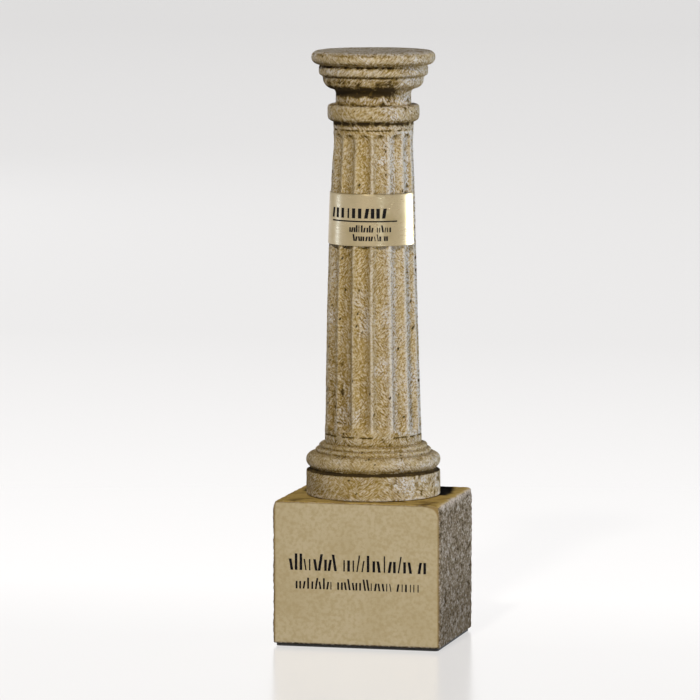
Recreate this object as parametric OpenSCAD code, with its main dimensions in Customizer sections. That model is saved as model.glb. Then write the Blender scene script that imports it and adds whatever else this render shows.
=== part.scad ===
// Award trophy in the form of a Roman Doric column: a cast column on a cast block, with a
// metal name plate wrapped round the shaft and a felt pad under the block.
// Millimetres, +Z up. The origin is on the underside of the pad, on the column's axis.
// The block's lettered front faces -Y.

/* [Overall] */
// Height from the table to the top of the capital
total_h = 254; // [210:1:340]

/* [Base block] */
// Height of the stone block without its pad
block_h = 61.7; // [40:0.1:90]
// How far the block stands out beyond the drum on the left and on the right
ledge_side = 8.1; // [3:0.1:25]
// How far the block stands out beyond the drum at the front and at the back
ledge_front = 3.2; // [2:0.1:25]
// Radius of the block's rounded edges
block_edge_r = 1.2; // [0.4:0.1:3]

/* [Felt pad] */
// Thickness of the pad
pad_t = 1.2; // [0.8:0.1:3]
// How far the pad's edge is set in from the block's faces
pad_inset = 1.2; // [0.6:0.1:4]
// Corner radius of the pad
pad_corner_r = 2; // [0.5:0.1:6]

/* [Column foot] */
// Height of the plain drum that the column stands on
drum_h = 10.8; // [6:0.1:16]
// How far the drum stands out beyond the foot of the shaft
drum_proj = 8; // [5:0.1:12]
// Radius of the drum's rounded edges
drum_edge_r = 0.6; // [0.3:0.1:1.5]
// Height of the groove between the drum and the torus
groove_h = 0.7; // [0.4:0.1:1.6]
// Depth of that groove
groove_depth = 1.6; // [0.6:0.1:2.5]
// Height of the large torus
torus_h = 6.9; // [5:0.1:9]
// How far the torus stands out beyond the foot of the shaft
torus_proj = 8.1; // [7:0.1:12]
// Height of the lower small ring
low_ring_h = 1.9; // [1.2:0.1:3]
// How far the lower small ring stands out beyond the foot of the shaft
low_ring_proj = 4.3; // [3.8:0.1:5.5]
// Height of the upper small ring
high_ring_h = 2; // [1.2:0.1:3]
// How far the upper small ring stands out beyond the foot of the shaft
high_ring_proj = 2.7; // [1.8:0.1:3.6]
// Height of the plain band between the small rings and the scribed line
foot_band_h = 4; // [2:0.1:6]

/* [Shaft] */
// Diameter of the shaft at its foot, over the arrises
foot_d = 41.6; // [34:0.1:54]
// Diameter of the shaft at its neck, over the arrises
neck_d = 34.3; // [27:0.1:42]
// Number of flutes round the shaft
flute_count = 15; // [12:1:20]
// Width of the narrow flat that is left between two flutes
arris_w = 1.2; // [0.8:0.1:2]
// Radius of a flute's round section, as a multiple of half its mouth at the foot
flute_round = 1.15; // [1.05:0.01:1.5]
// Distance from a scribed line to the rounded end of a flute
flute_margin = 1.8; // [1.6:0.1:4]
// Width of the scribed line at each end of the shaft
scribe_w = 0.7; // [0.4:0.1:1.2]
// Depth of the scribed line
scribe_depth = 0.45; // [0.2:0.05:0.8]

/* [Neck and astragal] */
// Height of the plain band above the upper scribed line
neck_band_h = 3.2; // [1.5:0.1:6]
// Height of the astragal
astragal_h = 7.3; // [5.6:0.1:10]
// How far the astragal stands out beyond the neck of the shaft
astragal_proj = 2.5; // [2:0.1:4]
// Radius of the astragal's rounded upper edge
astragal_top_r = 1.3; // [0.6:0.1:2.4]
// Radius of the astragal's rounded lower edge
astragal_low_r = 2.5; // [1:0.1:3]
// Height of the plain necking above the astragal
necking_h = 4.7; // [3:0.1:8]
// How far the necking is set in from the neck of the shaft
necking_inset = 1; // [0.4:0.1:2.5]

/* [Capital] */
// Height of the small hollow moulding under the echinus
cove_h = 1.9; // [1.2:0.1:3]
// How far that moulding's upper edge stands out beyond the neck of the shaft
cove_proj = 0.7; // [0:0.1:1.5]
// How far the echinus stands out beyond the neck of the shaft
echinus_proj = 4.5; // [3.6:0.1:5.6]
// Height of the echinus
echinus_h = 5.7; // [4.2:0.1:7]
// Height of the upright lip at the top of the echinus
echinus_lip = 1.2; // [0.4:0.1:2]
// How far the fillet ring stands out beyond the neck of the shaft
fillet_proj = 6.3; // [5:0.1:8]
// Height of the fillet ring
fillet_h = 4.7; // [3:0.1:6]
// Radius of the fillet ring's rounded edges
fillet_edge_r = 1; // [0.4:0.1:1.4]
// How far the round abacus stands out beyond the neck of the shaft
abacus_proj = 9.5; // [8.2:0.1:13]
// Height of the round abacus
abacus_h = 6.1; // [4.2:0.1:9]

/* [Name plate] */
// Height of the plate
plate_h = 22.2; // [14:0.1:32]
// Angle that the plate wraps round the front of the shaft
plate_wrap = 163; // [100:1:200]
// Thickness of the metal
plate_t = 0.5; // [0.3:0.05:1]
// Thickness of the adhesive between the arrises and the plate
plate_tape = 0.1; // [0.05:0.01:0.3]
// Distance from the upper scribed line down to the plate's upper edge
plate_drop = 26.9; // [18:0.1:60]

/* [Hidden] */
$fn = 96;

stone = [0.69, 0.60, 0.44];
honed_stone = [0.70, 0.62, 0.46];
gold_metal = [0.74, 0.67, 0.49];
felt = [0.08, 0.08, 0.08];

foot_r = foot_d / 2;
neck_r = neck_d / 2;
drum_r = foot_r + drum_proj;

block_w = 2 * (drum_r + ledge_side);
block_d = 2 * (drum_r + ledge_front);

// Heights of the mouldings, from the table upwards.
z_drum = pad_t + block_h;
z_groove = z_drum + drum_h;
z_torus = z_groove + groove_h;
z_low_ring = z_torus + torus_h;
z_high_ring = z_low_ring + low_ring_h;
z_foot_band = z_high_ring + high_ring_h;
z_foot_scribe = z_foot_band + foot_band_h;

// Heights of the capital's mouldings, from the top downwards.
z_abacus = total_h - abacus_h;
z_fillet = z_abacus - fillet_h;
z_echinus = z_fillet - echinus_h;
z_cove = z_echinus - cove_h;
z_necking = z_cove - necking_h;
z_astragal = z_necking - astragal_h;
z_neck_scribe = z_astragal - neck_band_h;

shaft_h = z_neck_scribe - z_foot_scribe;
flute_pitch = 360 / flute_count;

// Radius over the arrises at height z.
function shaft_r(z) = foot_r + (neck_r - foot_r) * (z - z_foot_scribe) / shaft_h;

// Chord across a flute's mouth at height z.
function flute_w(z) = 2 * shaft_r(z) * sin(flute_pitch / 2) - arris_w;

// Distance from the column's axis to the centre of a flute's section of radius r, which
// passes through both edges of the flute's mouth.
function flute_centre(z, r) =
    sqrt(pow(shaft_r(z), 2) - pow(flute_w(z) / 2, 2)) + sqrt(r * r - pow(flute_w(z) / 2, 2));

// Half-round bead: a flat band up to the centre of the curve, with the bead in front of it.
module bead(r, z, h) {
    translate([0, z])
        square([r - h / 2, h]);
    translate([r - h / 2, z + h / 2])
        circle(h / 2);
}

// Plain band of one radius.
module band(r, z, h) {
    translate([0, z])
        square([r, h]);
}

// Band whose lower and upper outer edges are rounded by low_r and top_r.
module rounded_band(r, z, h, low_r, top_r) {
    band(r - max(low_r, top_r), z, h);
    band(r, z + low_r, h - low_r - top_r);
    band(r - low_r, z, h / 2);
    band(r - top_r, z + h / 2, h / 2);
    translate([r - low_r, z + low_r])
        circle(low_r);
    translate([r - top_r, z + h - top_r])
        circle(top_r);
}

// Quarter-round echinus that swells upwards to radius r, with a short upright lip.
module echinus(r, z, h) {
    swell = h - echinus_lip;
    band(r - swell, z, h);
    intersection() {
        translate([r - swell, z + swell])
            circle(swell);
        band(r, z, swell);
    }
    band(r, z + swell, h - swell);
}

// Hollow quarter-round that opens upwards from radius r0 to r1.
module cove(r0, r1, z, h) {
    difference() {
        band(r1, z, h);
        translate([r1, z])
            scale([(r1 - r0) / h, 1])
                circle(h);
    }
    band(r0, z, h);
}

// V-shaped line cut into a shaft of radius r round height z.
module scribed_line(r, z) {
    polygon([
        [r - scribe_depth, z],
        [r + 1, z - scribe_w / 2 * (1 + 1 / scribe_depth)],
        [r + 1, z + scribe_w / 2 * (1 + 1 / scribe_depth)]
    ]);
}

// Half profile of the drum and the mouldings under the shaft.
module foot_profile() {
    rounded_band(drum_r, z_drum, drum_h, drum_edge_r, drum_edge_r);
    band(drum_r - groove_depth, z_groove, groove_h);
    bead(foot_r + torus_proj, z_torus, torus_h);
    bead(foot_r + low_ring_proj, z_low_ring, low_ring_h);
    bead(foot_r + high_ring_proj, z_high_ring, high_ring_h);
}

// Half profile of the shaft with its plain bands and scribed lines.
module shaft_profile() {
    difference() {
        polygon([
            [0, z_foot_band],
            [foot_r, z_foot_band],
            [foot_r, z_foot_scribe],
            [neck_r, z_neck_scribe],
            [neck_r, z_astragal],
            [0, z_astragal]
        ]);
        scribed_line(foot_r, z_foot_scribe);
        scribed_line(neck_r, z_neck_scribe);
    }
}

// Half profile of the astragal, the necking and the capital.
module capital_profile() {
    rounded_band(neck_r + astragal_proj, z_astragal, astragal_h, astragal_low_r, astragal_top_r);
    band(neck_r - necking_inset, z_necking, necking_h);
    cove(neck_r - necking_inset, neck_r + cove_proj, z_cove, cove_h);
    echinus(neck_r + echinus_proj, z_echinus, echinus_h);
    rounded_band(neck_r + fillet_proj, z_fillet, fillet_h, fillet_edge_r, fillet_edge_r);
    bead(neck_r + abacus_proj, z_abacus, abacus_h);
}

// Half profile of a capsule with its first end's centre at the origin.
module capsule_profile(r, len) {
    intersection() {
        union() {
            circle(r);
            translate([0, len])
                circle(r);
            square([r, len]);
        }
        translate([0, -r])
            square([r, len + 2 * r]);
    }
}

// Cutter for the flute on the +Y side: a round-nosed bar laid along the shaft's slope. It
// cuts less deep where the shaft is thinner, so the flutes narrow upwards and the arrises
// don't. Its round ends close each flute in a half circle.
module flute_cutter() {
    z0 = z_foot_scribe + flute_margin + flute_w(z_foot_scribe) / 2;
    z1 = z_neck_scribe - flute_margin - flute_w(z_neck_scribe) / 2;
    r = flute_round * flute_w(z_foot_scribe) / 2;
    y0 = flute_centre(z0, r);
    y1 = flute_centre(z1, r);
    translate([0, y0, z0])
        rotate([atan2(y0 - y1, z1 - z0), 0, 0])
            rotate_extrude()
                capsule_profile(r, norm([y0 - y1, z1 - z0]));
}

// Column with its drum, shaft and capital, cast in one piece. A flute lies on the front.
module column() {
    color(stone)
        difference() {
            rotate([0, 0, flute_pitch / 2 - 90])
                rotate_extrude() {
                    foot_profile();
                    shaft_profile();
                    capital_profile();
                }
            for (i = [0 : flute_count - 1])
                rotate([0, 0, 180 + i * flute_pitch])
                    flute_cutter();
        }
}

// Rectangle w by h with rounded corners, centred.
module rounded_rect(w, h, r) {
    square([w - 2 * r, h], center = true);
    square([w, h - 2 * r], center = true);
    for (x = [-1, 1], y = [-1, 1])
        translate([x * (w / 2 - r), y * (h / 2 - r)])
            circle(r);
}

// Rectangular block with all its edges softly rounded.
module base_block() {
    color(honed_stone)
        translate([0, 0, pad_t + block_h / 2])
            intersection() {
                linear_extrude(block_h, center = true)
                    rounded_rect(block_w, block_d, block_edge_r);
                rotate([90, 0, 0])
                    linear_extrude(block_d, center = true)
                        rounded_rect(block_w, block_h, block_edge_r);
                rotate([90, 0, 90])
                    linear_extrude(block_w, center = true)
                        rounded_rect(block_d, block_h, block_edge_r);
            }
}

// Thin plate bent to the shaft's slope and held to the arrises by adhesive.
module name_plate() {
    z1 = z_neck_scribe - plate_drop;
    z0 = z1 - plate_h;
    r0 = shaft_r(z0) + plate_tape;
    r1 = shaft_r(z1) + plate_tape;
    color(gold_metal)
        rotate([0, 0, -90 - plate_wrap / 2])
            rotate_extrude(angle = plate_wrap)
                polygon([
                    [r0, z0],
                    [r0 + plate_t, z0],
                    [r1 + plate_t, z1],
                    [r1, z1]
                ]);
}

// Thin pad with rounded corners, glued under the block.
module felt_pad() {
    w = block_w - 2 * pad_inset;
    d = block_d - 2 * pad_inset;
    color(felt)
        linear_extrude(pad_t)
            rounded_rect(w, d, pad_corner_r);
}

column();
base_block();
name_plate();
felt_pad();
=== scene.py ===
"""Looks of a doric column trophy: a cast-stone column on a block, with a gold plate and a pad."""

import logging
import math
from dataclasses import dataclass, field
from enum import Enum

import bmesh
import bpy
import numpy as np
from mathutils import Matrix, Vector


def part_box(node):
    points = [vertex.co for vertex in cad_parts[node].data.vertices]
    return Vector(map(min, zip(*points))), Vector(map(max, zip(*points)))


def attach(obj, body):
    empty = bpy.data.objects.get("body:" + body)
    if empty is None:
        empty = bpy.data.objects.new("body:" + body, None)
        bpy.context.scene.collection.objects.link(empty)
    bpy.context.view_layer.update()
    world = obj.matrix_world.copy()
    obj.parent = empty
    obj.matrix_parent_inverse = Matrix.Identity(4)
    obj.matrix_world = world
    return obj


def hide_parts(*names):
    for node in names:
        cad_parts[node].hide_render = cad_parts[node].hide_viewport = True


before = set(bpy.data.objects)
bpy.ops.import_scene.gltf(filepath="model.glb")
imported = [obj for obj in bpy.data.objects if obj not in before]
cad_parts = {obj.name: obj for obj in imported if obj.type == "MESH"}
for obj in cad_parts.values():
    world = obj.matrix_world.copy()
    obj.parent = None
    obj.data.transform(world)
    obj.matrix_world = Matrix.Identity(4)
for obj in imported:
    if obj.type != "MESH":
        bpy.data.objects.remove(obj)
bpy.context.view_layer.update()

LOG = logging.getLogger("trophy")
# A millimetre in metres. The builders work in millimetres, the finishes and the studio in metres.
MM = 0.001
# Spacing of the points along a drawn outline, in millimetres.
GRAIN = 0.05
# Distance that stands for no wall at all, in millimetres.
FAR = 99.0
# Points nearer to each other than this, in millimetres, are one point.
WELD_GAP = 0.001
Array = np.ndarray
Colour = tuple[float, float, float]
# What a node's input takes: another node's output, or a value.
Feed = bpy.types.NodeSocket | float
Tone = bpy.types.NodeSocket | Colour


class Part(Enum):
    """Pieces that the construction already holds, by name."""

    COLUMN = "column"
    BLOCK = "base_block"
    PLATE = "name_plate"
    PAD = "felt_pad"


class Slot(Enum):
    """Material slots of the construction's record."""

    CAST_STONE = "cast_stone"
    HONED_STONE = "honed_stone"
    GOLD_METAL = "gold_metal"
    BLACK_FELT = "black_felt"


class Op(Enum):
    """Arithmetic that a finish does with two values."""

    ADD = "ADD"
    SUBTRACT = "SUBTRACT"
    MULTIPLY = "MULTIPLY"
    MINIMUM = "MINIMUM"
    MAXIMUM = "MAXIMUM"
    ABSOLUTE = "ABSOLUTE"


class Lay(Enum):
    """Which way the fine strokes in the cast stone lean as they climb."""

    LEFT = -1.0
    RIGHT = 1.0


def smoothstep(value: Array, low: float, high: float) -> Array:
    """Returns 0 below low, 1 above high and an eased step between them."""
    t = np.clip((value - low) / (high - low), 0.0, 1.0)
    return t * t * (3.0 - 2.0 * t)


def hump(value: Array, middle: float, reach: float) -> Array:
    """Returns 1 at the middle, falling off smoothly to nothing beyond the reach."""
    return np.exp(-(((value - middle) / reach) ** 2))


def soft_min(a: Array, b: Array, width: float) -> Array:
    """Smaller of two values, with the crease between them rounded.

    Args:
        a: First value at each point.
        b: Second value at each point.
        width: How far apart the values may be where the rounding ends.

    Returns:
        The rounded minimum at each point.
    """
    blend = np.clip(0.5 + 0.5 * (b - a) / width, 0.0, 1.0)
    return b * (1.0 - blend) + a * blend - width * blend * (1.0 - blend)


class Noise:
    """Seeded gradient noise in space, for the relief of the meshes."""

    def __init__(self, seed: int) -> None:
        """Draws the lattice of gradients.

        Args:
            seed: Number that fixes the pattern.
        """
        draw = np.random.default_rng(seed)
        self._order = np.tile(draw.permutation(256), 2)
        slopes = draw.normal(size=(256, 3))
        self._slopes = slopes / np.linalg.norm(slopes, axis=1, keepdims=True)

    def smooth(self, points: Array, size: float) -> Array:
        """Rolling noise from about -1 to 1.

        Args:
            points: Places, one per row, in millimetres.
            size: Spacing of the lattice in millimetres.

        Returns:
            One value a point.
        """
        scaled = points / size
        cell = np.floor(scaled).astype(np.int64)
        part = scaled - cell
        ease = part * part * part * (part * (part * 6.0 - 15.0) + 10.0)
        total = np.zeros(points.shape[:-1])
        for corner in np.ndindex(2, 2, 2):
            step = np.array(corner)
            x, y, z = (((cell + step) & 255)[..., axis] for axis in range(3))
            pick = self._order[self._order[self._order[x] + y] + z]
            slope = ((part - step) * self._slopes[pick]).sum(-1)
            total += slope * np.prod(np.where(step == 1, ease, 1.0 - ease), axis=-1)
        return total * 1.6

    def fractal(self, points: Array, size: float, octaves: int) -> Array:
        """Rolling noise with finer noise on it, each layer half the size and strength."""
        layers = [self.smooth(points + 7.3 * k, size / 2**k) / 2**k for k in range(octaves)]
        return np.sum(layers, axis=0)

    def ridged(self, points: Array, size: float) -> Array:
        """Noise from 0 to 1 with narrow crests, like short raised strokes."""
        return np.clip(1.0 - 2.2 * np.abs(self.smooth(points, size)), 0.0, 1.0)


@dataclass
class Profile:
    """Half outline of a turned form, drawn upwards from point to point in millimetres."""

    grain: float = GRAIN
    _marks: list[tuple[float, float]] = field(default_factory=list)

    def to(self, radius: float, height: float) -> "Profile":
        """Draws a straight line to a point.

        Args:
            radius: Distance of the point from the axis, in millimetres.
            height: Height of the point above the table, in millimetres.

        Returns:
            The outline itself.
        """
        if self._marks:
            last = self._marks[-1]
            steps = max(1, int(math.dist(last, (radius, height)) / self.grain))
            for k in range(1, steps + 1):
                t = k / steps
                self._marks.append(
                    (last[0] + (radius - last[0]) * t, last[1] + (height - last[1]) * t)
                )
        else:
            self._marks.append((radius, height))
        return self

    def arc(
        self, centre: tuple[float, float], size: tuple[float, float], start: float, end: float
    ) -> "Profile":
        """Draws a line to an arc's start, then the arc.

        Args:
            centre: Radius and height of the arc's centre.
            size: Half widths of the arc outwards and upwards.
            start: First angle in degrees, 0 outwards and 90 upwards.
            end: Last angle in degrees.

        Returns:
            The outline.
        """
        steps = max(4, int(max(size) * abs(math.radians(end - start)) / self.grain))
        for k in range(steps + 1):
            angle = math.radians(start + (end - start) * k / steps)
            self.to(
                centre[0] + size[0] * math.cos(angle), centre[1] + size[1] * math.sin(angle)
            )
        return self

    def settle(self, softness: float) -> Array:
        """Rounds the outline's corners.

        Args:
            softness: How far the rounding reaches, in millimetres.

        Returns:
            An even row of points of radius and height.
        """
        marks = np.array(self._marks)
        run = np.concatenate([[0.0], np.cumsum(np.linalg.norm(np.diff(marks, axis=0), axis=1))])
        even = np.arange(0.0, run[-1], self.grain)
        line = np.stack([np.interp(even, run, marks[:, k]) for k in range(2)], axis=1)
        return blur_line(line, softness / self.grain)


def blur_line(line: Array, spread: float) -> Array:
    """Smooths a row of points while its two ends stay put.

    Args:
        line: Points in a row.
        spread: Width of the smoothing, in points.

    Returns:
        The smoothed points.
    """
    reach = int(4 * spread)
    kernel = np.exp(-0.5 * (np.arange(-reach, reach + 1) / spread) ** 2)
    kernel /= kernel.sum()
    padded = np.concatenate(
        [2 * line[0] - line[reach:0:-1], line, 2 * line[-1] - line[-2 : -reach - 2 : -1]]
    )
    return np.stack([np.convolve(padded[:, k], kernel, "valid") for k in range(line.shape[1])], 1)


def grid_normals(rings: Array) -> Array:
    """Outward directions on a grid of closed rings.

    Args:
        rings: Points by ring, place in the ring and axis, rings going upwards.

    Returns:
        Unit vectors in the same layout.
    """
    along = np.roll(rings, -1, axis=1) - np.roll(rings, 1, axis=1)
    across = np.gradient(rings, axis=0)
    normal = np.cross(along, across)
    length = np.linalg.norm(normal, axis=2, keepdims=True)
    return normal / np.maximum(length, 1e-9)


def mesh_piece(name: str, points: Array, faces: list[tuple[int, ...]]) -> bpy.types.Object:
    """Makes a smooth-shaded object from points in millimetres, with its faces turned outwards.

    Args:
        name: Name of the new object.
        points: Vertices, one per row.
        faces: Vertex numbers of each face.

    Returns:
        The object, linked into the scene.
    """
    fans = np.array([(face[0], j, k) for face in faces for j, k in zip(face[1:], face[2:])])
    first, second, third = (points[fans[:, column]] for column in range(3))
    if np.sum(first * np.cross(second, third)) < 0.0:
        faces = [tuple(reversed(face)) for face in faces]
    mesh = bpy.data.meshes.new(name)
    mesh.from_pydata((points * MM).tolist(), [], faces)
    mesh.shade_smooth()
    mesh.update()
    piece = bpy.data.objects.new(name, mesh)
    bpy.context.scene.collection.objects.link(piece)
    return piece


def loft(name: str, rings: Array, marks: dict[str, Array]) -> bpy.types.Object:
    """Joins closed rings into one closed piece and stores a value for each vertex.

    Args:
        name: Name of the new object.
        rings: Points by ring, place in the ring and axis, in millimetres.
        marks: Named values in the layout of the rings, for the finish to read.

    Returns:
        The new object.
    """
    count, around = rings.shape[:2]
    centres = np.stack([rings[0].mean(0), rings[-1].mean(0)])
    points = np.concatenate([rings.reshape(-1, 3), centres])
    low, high = count * around, count * around + 1
    row = np.arange(around)
    nxt = np.roll(row, -1)
    faces: list[tuple[int, ...]] = []
    for k in range(count - 1):
        a, b = k * around, (k + 1) * around
        faces.extend(zip(a + row, a + nxt, b + nxt, b + row))
    faces.extend((low, int(j), int(i)) for i, j in zip(row, nxt))
    top = (count - 1) * around
    faces.extend((high, int(top + i), int(top + j)) for i, j in zip(row, nxt))
    piece = mesh_piece(name, points, [tuple(int(v) for v in face) for face in faces])
    for key, value in marks.items():
        store = piece.data.attributes.new(key, "FLOAT", "POINT")
        ends = [value[0].mean(), value[-1].mean()]
        store.data.foreach_set("value", np.concatenate([value.ravel(), ends]).astype(np.float32))
    weld(piece)
    return piece


def weld(piece: bpy.types.Object) -> None:
    """Merges points that coincide, so that no face is left without area.

    Args:
        piece: The piece to clean.
    """
    form = bmesh.new()
    form.from_mesh(piece.data)
    bmesh.ops.remove_doubles(form, verts=form.verts, dist=WELD_GAP * MM)
    form.to_mesh(piece.data)
    form.free()


class Board:
    """Node layout of one material, with short calls for the nodes that the finishes use."""

    def __init__(self, name: str) -> None:
        """Starts an empty material.

        Args:
            name: Name of the material.
        """
        self.material = bpy.data.materials.new(name)
        self.material.use_nodes = True
        self.tree = self.material.node_tree
        self.tree.nodes.clear()
        self.place = self.add("ShaderNodeTexCoord").outputs["Object"]

    def add(
        self, kind: str, inputs: dict[str | int, object] | None = None, **settings: object
    ) -> bpy.types.Node:
        """Adds a node.

        Args:
            kind: Blender's name for the node type.
            inputs: Socket name or number, with a value or another node's output.
            settings: Properties of the node.

        Returns:
            The node.
        """
        node = self.tree.nodes.new(kind)
        for key, value in settings.items():
            setattr(node, key, value)
        for key, value in (inputs or {}).items():
            if isinstance(value, bpy.types.NodeSocket):
                self.tree.links.new(value, node.inputs[key])
            else:
                node.inputs[key].default_value = value
        return node

    def noise(
        self,
        scale: float,
        detail: float = 2.0,
        twist: float = 0.0,
        at: bpy.types.NodeSocket | None = None,
    ) -> bpy.types.NodeSocket:
        """Noise from 0 to 1 with lumps of about 1/scale metres."""
        inputs = {"Scale": scale, "Detail": detail, "Distortion": twist, "Vector": at or self.place}
        return self.add("ShaderNodeTexNoise", inputs).outputs["Fac"]

    def mark(self, name: str) -> bpy.types.NodeSocket:
        """Value that the mesh stores for each vertex."""
        return self.add("ShaderNodeAttribute", attribute_name=name).outputs["Fac"]

    def ease(
        self, value: Feed, low: float, high: float, start: float = 0.0, end: float = 1.0
    ) -> bpy.types.NodeSocket:
        """Eased step from start at low to end at high.

        Args:
            value: What is eased.
            low: Value at which the step begins.
            high: Value at which the step ends.
            start: Result up to low.
            end: Result from high on.

        Returns:
            Output of the node.
        """
        inputs = {0: value, 1: low, 2: high, 3: start, 4: end}
        node = self.add("ShaderNodeMapRange", inputs, interpolation_type="SMOOTHSTEP")
        return node.outputs[0]

    def calc(self, op: Op, a: Feed, b: Feed = 0.0) -> bpy.types.NodeSocket:
        """Result of an arithmetic node."""
        return self.add("ShaderNodeMath", {0: a, 1: b}, operation=op.value).outputs[0]

    def blend(self, factor: Feed, a: Tone, b: Tone) -> bpy.types.NodeSocket:
        """Mix of two colours: a where the factor is 0, b where it is 1.

        Args:
            factor: Share of b.
            a: First colour.
            b: Second colour.

        Returns:
            Output of the node.
        """
        first, second = ((*c, 1.0) if isinstance(c, tuple) else c for c in (a, b))
        inputs = {0: factor, 6: first, 7: second}
        return self.add("ShaderNodeMix", inputs, data_type="RGBA").outputs[2]

    def leaning(self, turn: float, squeeze: float, lay: Lay) -> bpy.types.NodeSocket:
        """Place whose noise is drawn out along a helix round the upright axis.

        Args:
            turn: Turn of the helix in radians a metre.
            squeeze: Share of its size that the noise keeps along the helix.
            lay: Side to which the strokes lean.

        Returns:
            Output for a texture's vector.
        """
        angle = self.calc(Op.MULTIPLY, self.axis("Z"), turn * lay.value)
        inputs = {"Vector": self.place, "Angle": angle}
        spun = self.add("ShaderNodeVectorRotate", inputs, rotation_type="Z_AXIS").outputs[0]
        return self.stretched((1.0, 1.0, squeeze), spun)

    def axis(self, name: str) -> bpy.types.NodeSocket:
        """Distance from the origin along X, Y or Z, in metres."""
        return self.add("ShaderNodeSeparateXYZ", {0: self.place}).outputs[name]

    def stretched(
        self, shares: tuple[float, float, float], at: bpy.types.NodeSocket | None = None
    ) -> bpy.types.NodeSocket:
        """Place with each axis scaled, so that a texture is drawn out along the small ones."""
        inputs = {0: at or self.place, 1: shares}
        return self.add("ShaderNodeVectorMath", inputs, operation="MULTIPLY").outputs[0]

    def bump(self, height: Feed, depth: float) -> bpy.types.NodeSocket:
        """Surface direction over a relief of the given depth in metres."""
        inputs = {"Height": height, "Distance": depth, "Strength": 1.0}
        return self.add("ShaderNodeBump", inputs).outputs[0]

    def finish(self, inputs: dict[str | int, object]) -> bpy.types.Material:
        """Ends the layout with the surface shader.

        Args:
            inputs: Values and outputs for the shader's inputs, by name.

        Returns:
            The material.
        """
        shader = self.add("ShaderNodeBsdfPrincipled", inputs)
        out = self.add("ShaderNodeOutputMaterial")
        self.tree.links.new(shader.outputs[0], out.inputs[0])
        return self.material


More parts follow.
